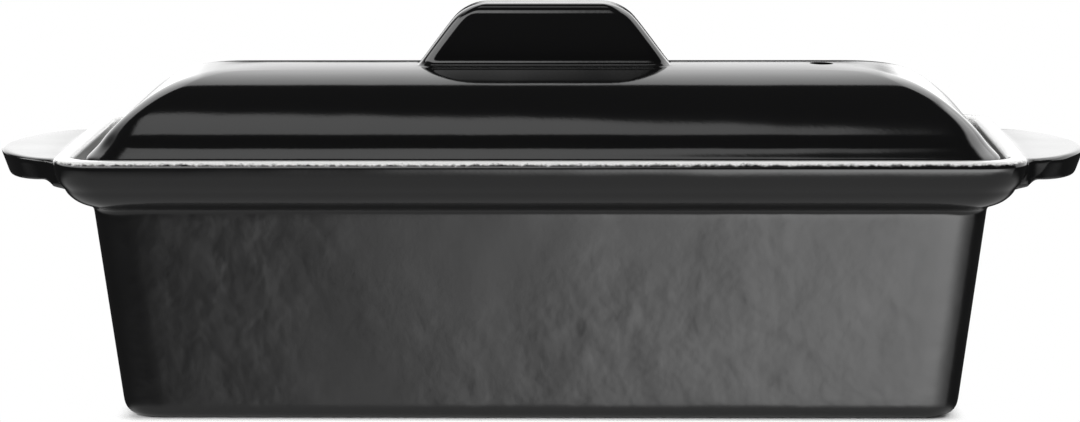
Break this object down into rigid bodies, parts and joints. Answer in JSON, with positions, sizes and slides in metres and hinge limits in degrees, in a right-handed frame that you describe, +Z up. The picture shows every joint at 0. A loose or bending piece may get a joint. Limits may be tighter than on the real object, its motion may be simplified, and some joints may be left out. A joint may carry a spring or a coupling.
{
  "type": "terrine dish",
  "caption": "Rectangular cast-iron terrine dish with a flared rim and end lugs, and a loose domed lid with a bar handle and steam vent.",
  "frame": {"origin": "middle of the base, on the surface that the dish stands on", "axes": "+X along the length through the end lugs, +Y from front to back, +Z up through the lid's handle"},
  "size_m": [0.3212, 0.1164, 0.1177],
  "materials": {
    "black_enamel": "gloss enamel"
  },
  "bodies": {
    "root": {"dish": "black_enamel", "lid": "black_enamel"}
  },
  "joints": []
}
